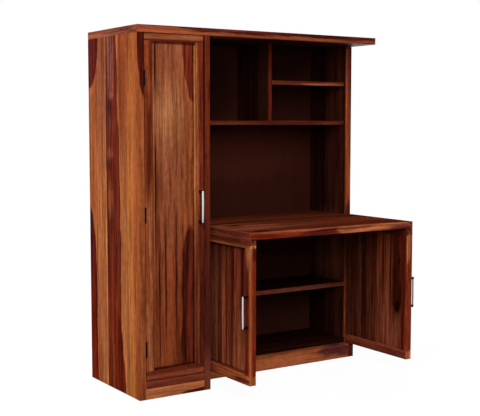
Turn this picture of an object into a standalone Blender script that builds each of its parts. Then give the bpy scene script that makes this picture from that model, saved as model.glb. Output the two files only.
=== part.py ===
"""Study desk unit: a narrow wardrobe, a bookshelf and a fold-down writing flap on one carcass.

Metres, +X right, +Y back, +Z up, with the origin on the floor under the middle of the unit.
It is modelled in use: the flap is down and rests on the two cabinet doors, which stand open.
"""

import math

import bmesh
import bpy
from mathutils import Vector

for stale in list(bpy.data.objects):
    bpy.data.objects.remove(stale, do_unlink=True)

# Driving sizes of the whole unit
TOTAL_WIDTH = 1.360
TOTAL_HEIGHT = 1.676
CARCASS_DEPTH = 0.510
WARDROBE_WIDTH = 0.372
DESK_HEIGHT = 0.763
DESK_SETBACK = 0.189  # front of the bookshelf behind the front of the wardrobe
DESK_SIDE_ROOM = 0.025  # room between the wardrobe and the left door or the flap

# Board thicknesses
BOARD = 0.033
STOUT_SHELF = 0.025
SHELF = 0.021
DIVIDER = 0.020
BACK_PANEL = 0.010
EASED_EDGE = 0.0012

# Heights and places of what is inside the carcass
WARDROBE_PLINTH = 0.048
DESK_PLINTH = 0.072
PLINTH_BEARING = 0.012  # how far the cabinet's floor rests on the plinth
CABINET_SHELF_TOP = 0.400
BOOKSHELF_CLEAR = 0.386  # main shelf to the top board
UPPER_CUBBY_CLEAR = 0.184  # small shelf to the top board
RIGHT_CUBBY_CLEAR = 0.463  # divider to the right side
SHELF_SETBACK = 0.021
BACK_INSET = 0.002
WARDROBE_SHELVES = 3

# Framed doors
STILE = 0.036
TOP_RAIL = 0.033
BOTTOM_RAIL = 0.044
GROOVE = 0.008
PANEL = 0.010
PANEL_DEPTH = 0.014  # outer face of the panel behind the outer face of the frame
BEAD = 0.006  # radius of the quarter-round moulding
BEAD_STEPS = 4
HEEL_STEPS = 6

# Clearances
FIT = 0.0003  # between pieces that are glued or screwed together
HINGE_GAP = 0.003
LATCH_GAP = 0.004
DOOR_TOP_GAP = 0.003
DOOR_BOTTOM_GAP = 0.004
MEETING_GAP = 0.003
DOOR_BACK_GAP = 0.002  # behind a closed cabinet door
HEEL_CLEARANCE = 0.0006  # left to the carcass by a door's heel as it turns
FLAP_OVERHANG = 0.001
FLAP_STANDOFF = 0.0008  # left to the bookshelf by the folded flap

# Bow handles
HANDLE_REACH = 0.034
HANDLE_FEET = 0.141
HANDLE_LENGTH = 0.153
HANDLE_WIDTH = 0.011
HANDLE_THICKNESS = 0.008
HANDLE_BOW = 0.002
HANDLE_TIP = 0.7  # share of the bar's section that is left at its rounded ends
HANDLE_TAPER = 8  # power that keeps this taper close to the ends
HANDLE_SECTIONS = 4  # from the middle to each end
FOOT_RADIUS = 0.0052
CABINET_HANDLE_RISE = 0.006  # handle's middle above the middle of a cabinet door

# Butt hinges of the wardrobe door
BUTT_HEIGHT = 0.070
BUTT_KNUCKLES = 3
BUTT_LEAF = 0.0015
BUTT_LEAF_WIDTH = 0.022
BUTT_KNUCKLE = 0.0035  # radius
BUTT_PIN = 0.0015  # radius
BUTT_TOP_DROP = 0.196  # door's top to the top hinge's middle
BUTT_BOTTOM_RISE = 0.145

# Continuous hinge of the flap
ROLL = 0.0022  # radius of its knuckles
ROLL_LEAF = 0.00095
ROLL_LEAF_HEIGHT = 0.016
ROLL_PIN = 0.00090  # radius
ROLL_PITCH = 0.040
ROLL_INSET = 0.010
ROLL_TURN = math.radians(290)
ROLL_STEPS = 10

# Pivots, glides and catches of the cabinet doors and the flap
BRACKET = 0.0025
BRACKET_MARGIN = 0.010  # plate around the pin
BRACKET_ARM = 0.050  # pin to the inner end of the top plate
BRACKET_TAB = 0.030
PIVOT_PIN = 0.0035  # radius
PIVOT_PIN_LENGTH = 0.012
GLIDE_WIDTH = 0.010
GLIDE_LENGTH = 0.012
GLIDE_SEAT = 0.009  # depth of the glide in the rail
CATCH_WIDTH = 0.046
CATCH_HEIGHT = 0.013
CATCH_DEPTH = 0.016
FLAP_CATCH_INSET = 0.010  # from the left side of the bookshelf

# Round forms
ROUND_SIDES = 16
RING = [2 * math.pi * side / ROUND_SIDES for side in range(ROUND_SIDES)]
SMOOTH_ANGLE = math.radians(40)
SEAM_MERGE = 0.000001

# Colour, roughness and metallic value of each finish
GOLDEN_WOOD = ((0.36, 0.135, 0.050), 0.38, 0.0)
RED_WOOD = ((0.21, 0.060, 0.026), 0.36, 0.0)
DARK_WOOD = ((0.115, 0.036, 0.018), 0.42, 0.0)
BEADING_WOOD = ((0.42, 0.180, 0.075), 0.36, 0.0)
BLACK_STEEL = ((0.012, 0.012, 0.013), 0.45, 0.8)
BLACK_NYLON = ((0.014, 0.014, 0.014), 0.55, 0.0)
SATIN_STEEL = ((0.72, 0.72, 0.71), 0.28, 1.0)

# Planes that the pieces share
LOWER_DOOR_WIDTH = (TOTAL_WIDTH - WARDROBE_WIDTH - DESK_SIDE_ROOM - MEETING_GAP) / 2
FLAP_REACH = DOOR_BACK_GAP + LOWER_DOOR_WIDTH + FLAP_OVERHANG
X_LEFT = -(TOTAL_WIDTH + HANDLE_REACH) / 2
X_RIGHT = X_LEFT + TOTAL_WIDTH
X_WARDROBE = X_LEFT + WARDROBE_WIDTH
X_FLAP = X_WARDROBE + DESK_SIDE_ROOM
Y_BACK = (CARCASS_DEPTH - DESK_SETBACK + FLAP_REACH) / 2
Y_FRONT = Y_BACK - CARCASS_DEPTH
Y_DESK = Y_FRONT + DESK_SETBACK
Y_FLAP = Y_DESK - FLAP_REACH
Y_PLINTH = Y_DESK - DOOR_BACK_GAP - BOARD
Y_PANEL = Y_BACK - BACK_INSET - BACK_PANEL
Z_TOP = TOTAL_HEIGHT - BOARD
Z_FLAP = DESK_HEIGHT - BOARD


def finish(target, look):
    """Give a piece its own material."""
    colour, roughness, metallic = look
    material = bpy.data.materials.new(target.name)
    material.use_nodes = True
    shader = material.node_tree.nodes["Principled BSDF"]
    shader.inputs["Base Color"].default_value = (*colour, 1.0)
    shader.inputs["Roughness"].default_value = roughness
    shader.inputs["Metallic"].default_value = metallic
    target.data.materials.append(material)


def thing(name, shape, parent, place):
    """Make an object from a bmesh, with its faces turned outwards."""
    bmesh.ops.recalc_face_normals(shape, faces=shape.faces)
    mesh = bpy.data.meshes.new(name)
    shape.to_mesh(mesh)
    shape.free()
    made = bpy.data.objects.new(name, mesh)
    made.location = place
    made.parent = parent
    bpy.context.collection.objects.link(made)
    return made


def piece(name, shape, look, parent=None, place=(0, 0, 0), smooth=False):
    """Make a sub-part of the unit, with its finish."""
    made = thing(name, shape, parent, place)
    finish(made, look)
    if smooth:
        made.data.shade_smooth()
        made.data.set_sharp_from_angle(angle=SMOOTH_ANGLE)
    return made


def add_box(shape, low, high):
    """Add a box to a bmesh."""
    low, high = Vector(low), Vector(high)
    corners = bmesh.ops.create_cube(shape, size=1.0)["verts"]
    bmesh.ops.scale(shape, vec=high - low, verts=corners)
    bmesh.ops.translate(shape, vec=(low + high) / 2, verts=corners)


def add_prism(shape, outline, along):
    """Add a flat outline that is drawn out along a vector."""
    cap = shape.faces.new([shape.verts.new(point) for point in outline])
    drawn = bmesh.ops.extrude_face_region(shape, geom=[cap])["geom"]
    moved = [item for item in drawn if isinstance(item, bmesh.types.BMVert)]
    bmesh.ops.translate(shape, vec=along, verts=moved)


def add_turned(shape, profile, place=(0, 0, 0), closed=False):
    """Turn a profile of (radius, height) points round a vertical axis."""
    points = [shape.verts.new((radius, 0, height)) for radius, height in profile]
    ends = points[1:] + points[:1] if closed else points[1:]
    lines = [shape.edges.new(pair) for pair in zip(points, ends)]
    bmesh.ops.spin(shape, geom=points + lines, cent=(0, 0, 0), axis=(0, 0, 1), angle=2 * math.pi,
                   steps=ROUND_SIDES, use_merge=True)
    bmesh.ops.remove_doubles(shape, verts=shape.verts, dist=SEAM_MERGE)
    bmesh.ops.translate(shape, vec=place, verts=shape.verts)


def add_loft(shape, loops, closed=False):
    """Join loops of points by walls, and close the ends or the ring."""
    rings = [[shape.verts.new(point) for point in loop] for loop in loops]
    following = rings[1:] + rings[:1] if closed else rings[1:]
    for ring, after in zip(rings, following):
        for here, beside in zip(range(len(ring)), [*range(1, len(ring)), 0]):
            shape.faces.new((ring[here], ring[beside], after[beside], after[here]))
    if not closed:
        shape.faces.new(rings[0])
        shape.faces.new(rings[-1])


def combine(target, shape, operation):
    """Cut a shape out of a piece, or weld it on, with the shape in the piece's own frame."""
    tool = thing(f"{target.name}_{operation.lower()}", shape, target.parent, target.location)
    tool.hide_render = True
    tool.display_type = "WIRE"
    step = target.modifiers.new(tool.name, "BOOLEAN")
    step.operation = operation
    step.object = tool


def cut_boxes(target, boxes):
    """Cut boxes out of a piece, as a router or a chisel would."""
    shape = bmesh.new()
    for low, high in boxes:
        add_box(shape, low, high)
    combine(target, shape, "DIFFERENCE")


def board(name, low, high, look, parent=None):
    """A plain board between two corners, with its edges eased."""
    low, high = Vector(low), Vector(high)
    half = (high - low) / 2
    shape = bmesh.new()
    add_box(shape, -half, half)
    made = piece(name, shape, look, parent, place=(low + high) / 2)
    eased = made.modifiers.new("eased_edges", "BEVEL")
    eased.width = EASED_EDGE
    eased.segments = 1
    return made


def axis_empty(name, place, turn=0.0):
    """The line that a moving group turns on."""
    made = bpy.data.objects.new(name, None)
    made.location = place
    made.rotation_euler.z = turn
    bpy.context.collection.objects.link(made)
    return made


# Wardrobe carcass: two sides to the floor, a floor on its plinth, shelves and a back
X_INSIDE = X_LEFT + BOARD
X_POST = X_WARDROBE - BOARD
WARDROBE_FLOOR_TOP = WARDROBE_PLINTH + FIT + BOARD
Y_WARDROBE_SHELF = Y_FRONT + BOARD + SHELF_SETBACK

wardrobe_side_left = board(
    "wardrobe_side_left", (X_LEFT, Y_FRONT, 0), (X_INSIDE, Y_BACK, Z_TOP - FIT), GOLDEN_WOOD)
board("wardrobe_side_right", (X_POST, Y_FRONT, 0), (X_WARDROBE, Y_BACK, Z_TOP - FIT), RED_WOOD)
board("wardrobe_plinth",
      (X_INSIDE + FIT, Y_FRONT, 0), (X_POST - FIT, Y_FRONT + STOUT_SHELF, WARDROBE_PLINTH), GOLDEN_WOOD)
board("wardrobe_floor",
      (X_INSIDE + FIT, Y_FRONT, WARDROBE_PLINTH + FIT),
      (X_POST - FIT, Y_PANEL - FIT, WARDROBE_FLOOR_TOP), RED_WOOD)
board("wardrobe_back",
      (X_INSIDE + FIT, Y_PANEL, WARDROBE_PLINTH),
      (X_POST - FIT, Y_PANEL + BACK_PANEL, Z_TOP - FIT), DARK_WOOD)
shelf_pitch = (Z_TOP - WARDROBE_FLOOR_TOP) / (WARDROBE_SHELVES + 1)
for number in range(1, WARDROBE_SHELVES + 1):
    shelf_top = WARDROBE_FLOOR_TOP + number * shelf_pitch
    board(f"wardrobe_shelf_{number}",
          (X_INSIDE + FIT, Y_WARDROBE_SHELF, shelf_top - SHELF),
          (X_POST - FIT, Y_PANEL - FIT, shelf_top), DARK_WOOD)

# Desk carcass: a plinth frame carries two sides, which hold the cabinet and the bookshelf
X_SIDE = X_WARDROBE + FIT
X_BAY = X_SIDE + BOARD
X_BAY_END = X_RIGHT - BOARD
Z_CARCASS = DESK_PLINTH + FIT
Y_SHELF = Y_DESK + SHELF_SETBACK
X_DIVIDER_END = X_BAY_END - RIGHT_CUBBY_CLEAR
MAIN_SHELF_TOP = Z_TOP - BOOKSHELF_CLEAR
SMALL_SHELF_TOP = Z_TOP - UPPER_CUBBY_CLEAR
FLAP_AXIS = Vector(((X_FLAP + X_RIGHT) / 2, Y_DESK - FLAP_STANDOFF - ROLL, DESK_HEIGHT - ROLL))

for hand, x_low in (("left", X_SIDE), ("right", X_BAY_END)):
    board(f"desk_plinth_{hand}", (x_low, Y_PLINTH, 0), (x_low + BOARD, Y_BACK, DESK_PLINTH), RED_WOOD)
    board(f"desk_side_{hand}",
          (x_low, Y_DESK, Z_CARCASS), (x_low + BOARD, Y_BACK, Z_TOP - FIT), RED_WOOD)
board("desk_plinth_front",
      (X_BAY + FIT, Y_PLINTH, 0), (X_BAY_END - FIT, Y_DESK + PLINTH_BEARING, DESK_PLINTH), GOLDEN_WOOD)
board("cabinet_floor",
      (X_BAY + FIT, Y_DESK, Z_CARCASS),
      (X_BAY_END - FIT, Y_PANEL - FIT, Z_CARCASS + STOUT_SHELF), DARK_WOOD)
board("cabinet_shelf",
      (X_BAY + FIT, Y_DESK + LATCH_GAP, CABINET_SHELF_TOP - SHELF),
      (X_BAY_END - FIT, Y_PANEL - FIT, CABINET_SHELF_TOP), RED_WOOD)
board("desk_fixed_top",
      (X_BAY + FIT, FLAP_AXIS.y + ROLL + FIT, Z_FLAP),
      (X_BAY_END - FIT, Y_PANEL - FIT, DESK_HEIGHT), GOLDEN_WOOD)
board("bookshelf_main_shelf",
      (X_BAY + FIT, Y_SHELF, MAIN_SHELF_TOP - SHELF),
      (X_BAY_END - FIT, Y_PANEL - FIT, MAIN_SHELF_TOP), RED_WOOD)
board("bookshelf_divider",
      (X_DIVIDER_END - DIVIDER, Y_SHELF, MAIN_SHELF_TOP + FIT),
      (X_DIVIDER_END, Y_PANEL - FIT, Z_TOP - FIT), GOLDEN_WOOD)
board("bookshelf_small_shelf",
      (X_DIVIDER_END + FIT, Y_SHELF, SMALL_SHELF_TOP - SHELF),
      (X_BAY_END - FIT, Y_PANEL - FIT, SMALL_SHELF_TOP), RED_WOOD)
board("desk_back",
      (X_BAY + FIT, Y_PANEL, Z_CARCASS),
      (X_BAY_END - FIT, Y_PANEL + BACK_PANEL, Z_TOP - FIT), DARK_WOOD)

# Top board: one wide slab that ties the wardrobe to the bookshelf
board("top_board", (X_LEFT, Y_FRONT, Z_TOP), (X_RIGHT, Y_BACK, TOTAL_HEIGHT), GOLDEN_WOOD)


def framed_door(name, axis, hand, edge, face, foot, width, height, heel=0.0, handle_rise=0.0):
    """A framed door in its closed place: through rails, stiles tenoned between them, panel and moulding.

    hand is 1 where the hinge is on the left. edge and face are the hinge edge and the outer face,
    measured from the axis, heel rounds the inner corner of the hinge edge, and handle_rise lifts the
    handle above the door's middle.
    """
    head = foot + height
    groove_front = PANEL_DEPTH - 2 * FIT
    groove_back = PANEL_DEPTH + PANEL + 2 * FIT
    pieces = {}

    def at(across, depth, up):
        return Vector((hand * (edge + across), face + depth, up))

    def box(low, high):
        a, b = at(*low), at(*high)
        return [min(pair) for pair in zip(a, b)], [max(pair) for pair in zip(a, b)]

    def round_heel(shape):
        corner = at(0, BOARD, 0)
        heel_edges = [
            line for line in shape.edges
            if all((vert.co.xy - corner.xy).length < FIT for vert in line.verts)
        ]
        bmesh.ops.bevel(shape, geom=heel_edges, offset=heel, segments=HEEL_STEPS, profile=0.5,
                        affect="EDGES")

    rails = (
        ("rail_bottom", foot, foot + BOTTOM_RAIL, foot + BOTTOM_RAIL - GROOVE, foot + BOTTOM_RAIL + FIT),
        ("rail_top", head - TOP_RAIL, head, head - TOP_RAIL - FIT, head - TOP_RAIL + GROOVE),
    )
    for part, low, high, groove_low, groove_high in rails:
        shape = bmesh.new()
        add_box(shape, *box((0, 0, low), (width, BOARD, high)))
        if heel:
            round_heel(shape)
        pieces[part] = piece(f"{name}_{part}", shape, RED_WOOD, axis)
        cut_boxes(pieces[part], [
            box((-FIT, groove_front, groove_low), (width + FIT, groove_back, groove_high))])

    shoulder_low = foot + BOTTOM_RAIL + FIT
    shoulder_high = head - TOP_RAIL - FIT
    tenon_low = shoulder_low - GROOVE + FIT
    tenon_high = shoulder_high + GROOVE - FIT
    tenon_front = groove_front + FIT
    tenon_back = groove_back - FIT
    stiles = (
        ("stile_hinge", 0, STILE - GROOVE, STILE + FIT),
        ("stile_handle", width - STILE, width - STILE - FIT, width - STILE + GROOVE),
    )
    for part, start, groove_low, groove_high in stiles:
        shape = bmesh.new()
        add_box(shape, *box((start, 0, tenon_low), (start + STILE, BOARD, tenon_high)))
        if heel and part == "stile_hinge":
            round_heel(shape)
        pieces[part] = piece(f"{name}_{part}", shape, GOLDEN_WOOD, axis)
        cut_boxes(pieces[part], [
            box((groove_low, groove_front, tenon_low - FIT), (groove_high, groove_back, tenon_high + FIT))])
        cut_boxes(pieces[part], [
            box((start - FIT, front, low), (start + STILE + FIT, back, high))
            for front, back in ((-FIT, tenon_front), (tenon_back, BOARD + FIT))
            for low, high in ((tenon_low - FIT, shoulder_low), (shoulder_high, tenon_high + FIT))
        ])

    # Panel: loose in the grooves, so that it can swell
    shape = bmesh.new()
    add_box(shape, *box(
        (STILE - GROOVE + FIT, PANEL_DEPTH, tenon_low),
        (width - STILE + GROOVE - FIT, PANEL_DEPTH + PANEL, tenon_high)))
    pieces["panel"] = piece(f"{name}_panel", shape, RED_WOOD, axis)

    # Moulding: a mitred quarter-round bead in the corner between the frame and the panel
    seat = PANEL_DEPTH - FIT
    turns = [math.pi / 2 * step / BEAD_STEPS for step in range(BEAD_STEPS + 1)]
    section = [(0, seat)]
    section += [(BEAD * math.sin(turn), seat - BEAD * math.cos(turn)) for turn in turns]
    low_across, high_across = STILE + FIT, width - STILE - FIT
    low_up, high_up = shoulder_low, shoulder_high
    shape = bmesh.new()
    add_loft(shape, [
        [at(low_across + inset, depth, low_up + inset) for inset, depth in section],
        [at(high_across - inset, depth, low_up + inset) for inset, depth in section],
        [at(high_across - inset, depth, high_up - inset) for inset, depth in section],
        [at(low_across + inset, depth, high_up - inset) for inset, depth in section],
    ], closed=True)
    pieces["moulding"] = piece(f"{name}_moulding", shape, BEADING_WOOD, axis)

    # Bow handle: a slightly bowed bar on two round feet, on the middle of the free stile
    middle = (foot + head) / 2 + handle_rise
    across = width - STILE / 2
    loops = []
    for section in range(-HANDLE_SECTIONS, HANDLE_SECTIONS + 1):
        share = section / HANDLE_SECTIONS
        swell = math.sqrt(1 - (1 - HANDLE_TIP ** 2) * share ** HANDLE_TAPER)
        depth = -HANDLE_REACH + HANDLE_THICKNESS / 2 + HANDLE_BOW * share ** 2
        loops.append([
            at(across + swell * HANDLE_WIDTH / 2 * math.cos(turn),
               depth + swell * HANDLE_THICKNESS / 2 * math.sin(turn),
               middle + share * HANDLE_LENGTH / 2)
            for turn in RING
        ])
    shape = bmesh.new()
    add_loft(shape, loops)
    pieces["handle"] = piece(f"{name}_handle", shape, SATIN_STEEL, axis, smooth=True)
    feet = bmesh.new()
    for up in (middle - HANDLE_FEET / 2, middle + HANDLE_FEET / 2):
        circle = [(across + FOOT_RADIUS * math.cos(turn), up + FOOT_RADIUS * math.sin(turn)) for turn in RING]
        add_loft(feet, [
            [at(foot_across, depth, foot_up) for foot_across, foot_up in circle]
            for depth in (-FIT, -HANDLE_REACH + HANDLE_BOW + HANDLE_THICKNESS / 2)
        ])
    combine(pieces["handle"], feet, "UNION")
    return pieces


# Wardrobe door: set between the sides, turning on three butt hinges in front of their gap
WARDROBE_DOOR_WIDTH = X_POST - X_INSIDE - HINGE_GAP - LATCH_GAP
WARDROBE_DOOR_FOOT = WARDROBE_FLOOR_TOP + DOOR_BOTTOM_GAP
WARDROBE_DOOR_HEAD = Z_TOP - DOOR_TOP_GAP
BUTT_AXIS_DEPTH = BUTT_KNUCKLE + FIT
wardrobe_door_axis = axis_empty(
    "wardrobe_door_axis", (X_INSIDE + HINGE_GAP / 2, Y_FRONT - BUTT_AXIS_DEPTH, 0))
wardrobe_door = framed_door(
    "wardrobe_door", wardrobe_door_axis, 1, HINGE_GAP / 2, BUTT_AXIS_DEPTH, WARDROBE_DOOR_FOOT,
    WARDROBE_DOOR_WIDTH, WARDROBE_DOOR_HEAD - WARDROBE_DOOR_FOOT)

# Butt hinges: leaves let into the side and the stile, with the pin fast in the frame leaf
butt_low = WARDROBE_DOOR_FOOT + BUTT_BOTTOM_RISE
butt_high = WARDROBE_DOOR_HEAD - BUTT_TOP_DROP
butt_heights = (butt_low, (butt_low + butt_high) / 2, butt_high)
butt_half = BUTT_HEIGHT / 2
knuckle_half = butt_half / BUTT_KNUCKLES
leaf_back = BUTT_AXIS_DEPTH + BUTT_LEAF_WIDTH
leaf_relief = BUTT_KNUCKLE + FIT  # a leaf stops here beside the other leaf's knuckle
for number, middle in enumerate(butt_heights, start=1):
    hinge_place = Vector((0, 0, middle))
    frame_leaf_outline = (
        (0, -butt_half), (leaf_back, -butt_half), (leaf_back, butt_half), (0, butt_half),
        (0, knuckle_half + FIT), (leaf_relief, knuckle_half + FIT),
        (leaf_relief, -knuckle_half - FIT), (0, -knuckle_half - FIT),
    )
    shape = bmesh.new()
    add_prism(shape, [(-HINGE_GAP / 2 - BUTT_LEAF, depth, up) for depth, up in frame_leaf_outline],
              Vector((BUTT_LEAF, 0, 0)))
    frame_leaf = piece(f"wardrobe_hinge_{number}_frame_leaf", shape, BLACK_STEEL,
                       place=wardrobe_door_axis.location + hinge_place, smooth=True)
    shape = bmesh.new()
    add_turned(shape, (
        (0, -butt_half), (BUTT_KNUCKLE, -butt_half), (BUTT_KNUCKLE, -knuckle_half - FIT),
        (BUTT_PIN, -knuckle_half - FIT), (BUTT_PIN, knuckle_half + FIT),
        (BUTT_KNUCKLE, knuckle_half + FIT), (BUTT_KNUCKLE, butt_half), (0, butt_half)))
    combine(frame_leaf, shape, "UNION")

    bore = BUTT_PIN + FIT
    leaf_start = math.sqrt(bore ** 2 - (HINGE_GAP / 2) ** 2) + FIT if bore > HINGE_GAP / 2 else 0
    door_leaf_outline = (
        (leaf_relief, -butt_half), (leaf_back, -butt_half), (leaf_back, butt_half), (leaf_relief, butt_half),
        (leaf_relief, knuckle_half - FIT), (leaf_start, knuckle_half - FIT),
        (leaf_start, -knuckle_half + FIT), (leaf_relief, -knuckle_half + FIT),
    )
    shape = bmesh.new()
    add_prism(shape, [(HINGE_GAP / 2, depth, up) for depth, up in door_leaf_outline],
              Vector((BUTT_LEAF, 0, 0)))
    door_leaf = piece(f"wardrobe_hinge_{number}_door_leaf", shape, BLACK_STEEL, wardrobe_door_axis,
                      place=hinge_place, smooth=True)
    shape = bmesh.new()
    add_turned(shape, (
        (bore, -knuckle_half + FIT), (BUTT_KNUCKLE, -knuckle_half + FIT),
        (BUTT_KNUCKLE, knuckle_half - FIT), (bore, knuckle_half - FIT)), closed=True)
    combine(door_leaf, shape, "UNION")

side_middle = wardrobe_side_left.location
side_seats = []
stile_seats = []
for middle in butt_heights:
    low, high = middle - butt_half - FIT, middle + butt_half + FIT
    side_seats.append((
        Vector((X_INSIDE - BUTT_LEAF - FIT, Y_FRONT - FIT, low)) - side_middle,
        Vector((X_INSIDE + FIT, Y_FRONT + BUTT_LEAF_WIDTH + FIT, high)) - side_middle))
    stile_seats.append((
        (HINGE_GAP / 2 - FIT, BUTT_AXIS_DEPTH - FIT, low),
        (HINGE_GAP / 2 + BUTT_LEAF + FIT, leaf_back + FIT, high)))
cut_boxes(wardrobe_side_left, side_seats)
cut_boxes(wardrobe_door["stile_hinge"], stile_seats)

# Cabinet doors: each turns on two pins in the middle of its thickness, so that it stands in front of
# its side when open, carries the flap on a nylon glide, and closes flush with the plinth
LOWER_DOOR_FOOT = DESK_PLINTH + FIT + BRACKET + FIT
LOWER_DOOR_HEAD = Z_FLAP - FIT - BRACKET - FIT
PIVOT_INSET = BOARD / 2
Y_PIVOT = Y_DESK - DOOR_BACK_GAP - BOARD / 2
corner_reach = math.hypot(PIVOT_INSET, BOARD / 2)
HEEL = (corner_reach - BOARD / 2 - DOOR_BACK_GAP + HEEL_CLEARANCE) / (math.sqrt(2) - 1)
PIN_HOLE = PIVOT_PIN + FIT


def add_pin(shape, place, low, high, radius):
    """Add a plain round pin or hole."""
    add_turned(shape, ((0, low), (radius, low), (radius, high), (0, high)), place)


for side, hand, hinge_edge in (("left", 1, X_FLAP), ("right", -1, X_RIGHT)):
    x_pivot = hinge_edge + hand * PIVOT_INSET
    name = f"{side}_door"
    door_axis = axis_empty(f"{name}_axis", (x_pivot, Y_PIVOT, 0), turn=-hand * math.pi / 2)
    door = framed_door(name, door_axis, hand, -PIVOT_INSET, -BOARD / 2, LOWER_DOOR_FOOT,
                       LOWER_DOOR_WIDTH, LOWER_DOOR_HEAD - LOWER_DOOR_FOOT, heel=HEEL,
                       handle_rise=CABINET_HANDLE_RISE)

    pin_depth = PIVOT_PIN_LENGTH + FIT
    for rail, low, high in (("rail_bottom", LOWER_DOOR_FOOT - FIT, LOWER_DOOR_FOOT + pin_depth),
                            ("rail_top", LOWER_DOOR_HEAD - pin_depth, LOWER_DOOR_HEAD + FIT)):
        shape = bmesh.new()
        add_pin(shape, (0, 0, 0), low, high, PIN_HOLE)
        combine(door[rail], shape, "DIFFERENCE")

    # Glide: a nylon block in the end of the top rail, proud of it by the pivot plate's room
    free_end = LOWER_DOOR_WIDTH - PIVOT_INSET
    glide_low = LOWER_DOOR_HEAD - GLIDE_SEAT
    x_glide = sorted((hand * (free_end - GLIDE_LENGTH), hand * free_end))
    x_notch = sorted((hand * (free_end - GLIDE_LENGTH - FIT), hand * (free_end + FIT)))
    half_notch = GLIDE_WIDTH / 2 + FIT
    cut_boxes(door["rail_top"], [
        ((x_notch[0], -half_notch, glide_low - FIT), (x_notch[1], half_notch, LOWER_DOOR_HEAD + FIT))])
    board(f"{name}_glide", (x_glide[0], -GLIDE_WIDTH / 2, glide_low),
          (x_glide[1], GLIDE_WIDTH / 2, Z_FLAP - FIT), BLACK_NYLON, door_axis)

    # Pivots: a square plate on the plinth, and a cranked plate under the fixed top
    plate = BRACKET_MARGIN
    low = DESK_PLINTH + FIT
    shape = bmesh.new()
    add_box(shape, (-plate, -plate, low), (plate, plate, low + BRACKET))
    foot_pivot = piece(f"{name}_pivot_bottom", shape, BLACK_STEEL, place=(x_pivot, Y_PIVOT, 0))
    shape = bmesh.new()
    add_pin(shape, (0, 0, 0), low + BRACKET / 2, LOWER_DOOR_FOOT + PIVOT_PIN_LENGTH, PIVOT_PIN)
    combine(foot_pivot, shape, "UNION")

    low = Z_FLAP - FIT - BRACKET
    strip_back = Y_DESK - FIT - Y_PIVOT - FLAP_STANDOFF
    tab_back = Y_DESK + BRACKET_TAB - Y_PIVOT
    tab_start = BRACKET_ARM - BRACKET_TAB
    outline = (
        (-plate, -plate), (BRACKET_ARM, -plate), (BRACKET_ARM, tab_back), (tab_start, tab_back),
        (tab_start, strip_back), (-plate, strip_back),
    )
    shape = bmesh.new()
    add_prism(shape, [(hand * across, depth, low) for across, depth in outline], Vector((0, 0, BRACKET)))
    head_pivot = piece(f"{name}_pivot_top", shape, BLACK_STEEL, place=(x_pivot, Y_PIVOT, 0))
    shape = bmesh.new()
    add_pin(shape, (0, 0, 0), LOWER_DOOR_HEAD - PIVOT_PIN_LENGTH, low + BRACKET / 2, PIVOT_PIN)
    combine(head_pivot, shape, "UNION")

# Writing flap: one slab, hinged along the front of the fixed top
flap_axis = axis_empty("flap_axis", FLAP_AXIS)
board("writing_flap",
      Vector((X_FLAP, Y_FLAP, Z_FLAP)) - FLAP_AXIS,
      Vector((X_RIGHT, FLAP_AXIS.y - ROLL - FIT, DESK_HEIGHT)) - FLAP_AXIS, GOLDEN_WOOD, flap_axis)

# Continuous hinge: each leaf is a strip whose tongues are rolled round the pin, turn and turn about
roll_start = X_BAY + ROLL_INSET - FLAP_AXIS.x
roll_end = X_BAY_END - ROLL_INSET - FLAP_AXIS.x
roll_count = 2 * round((roll_end - roll_start) / (2 * ROLL_PITCH)) + 1
roll_pitch = (roll_end - roll_start) / roll_count
strip_top = -ROLL - FIT


def rolled_leaf(name, side, first, parent, place):
    """A leaf of the continuous hinge, on the side of the pin that side gives."""
    shape = bmesh.new()
    depths = sorted((side * (ROLL - ROLL_LEAF), side * ROLL))
    add_box(shape, (roll_start, depths[0], -ROLL_LEAF_HEIGHT), (roll_end, depths[1], strip_top))
    tongues = [
        (roll_start + index * roll_pitch + FIT, roll_start + (index + 1) * roll_pitch - FIT)
        for index in range(first, roll_count, 2)
    ]
    for low, high in tongues:
        for x_cut in (low, high):
            bmesh.ops.bisect_plane(shape, geom=shape.verts[:] + shape.edges[:] + shape.faces[:],
                                   plane_co=(x_cut, 0, 0), plane_no=(1, 0, 0))
    for low, high in tongues:
        tops = [
            face for face in shape.faces
            if face.calc_center_median().z > strip_top - FIT and low < face.calc_center_median().x < high
        ]
        raised = bmesh.ops.extrude_face_region(shape, geom=tops)["geom"]
        corners = [item for item in raised if isinstance(item, bmesh.types.BMVert)]
        bmesh.ops.translate(shape, vec=(0, 0, -strip_top), verts=corners)
        ends = [item for item in raised if isinstance(item, bmesh.types.BMFace)]
        bmesh.ops.spin(shape, geom=ends, cent=(0, 0, 0), axis=(side, 0, 0), angle=ROLL_TURN,
                       steps=ROLL_STEPS)
        buried = [face for face in tops + ends if face.is_valid]
        bmesh.ops.delete(shape, geom=buried, context="FACES_ONLY")
    return piece(name, shape, BLACK_STEEL, parent, place, smooth=True)


rolled_leaf("flap_hinge_fixed_leaf", 1, 0, None, FLAP_AXIS)
rolled_leaf("flap_hinge_moving_leaf", -1, 1, flap_axis, (0, 0, 0))
shape = bmesh.new()
add_prism(shape, [(roll_start, ROLL_PIN * math.cos(turn), ROLL_PIN * math.sin(turn)) for turn in RING],
          Vector((roll_end - roll_start, 0, 0)))
piece("flap_hinge_pin", shape, BLACK_STEEL, place=FLAP_AXIS, smooth=True)

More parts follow.
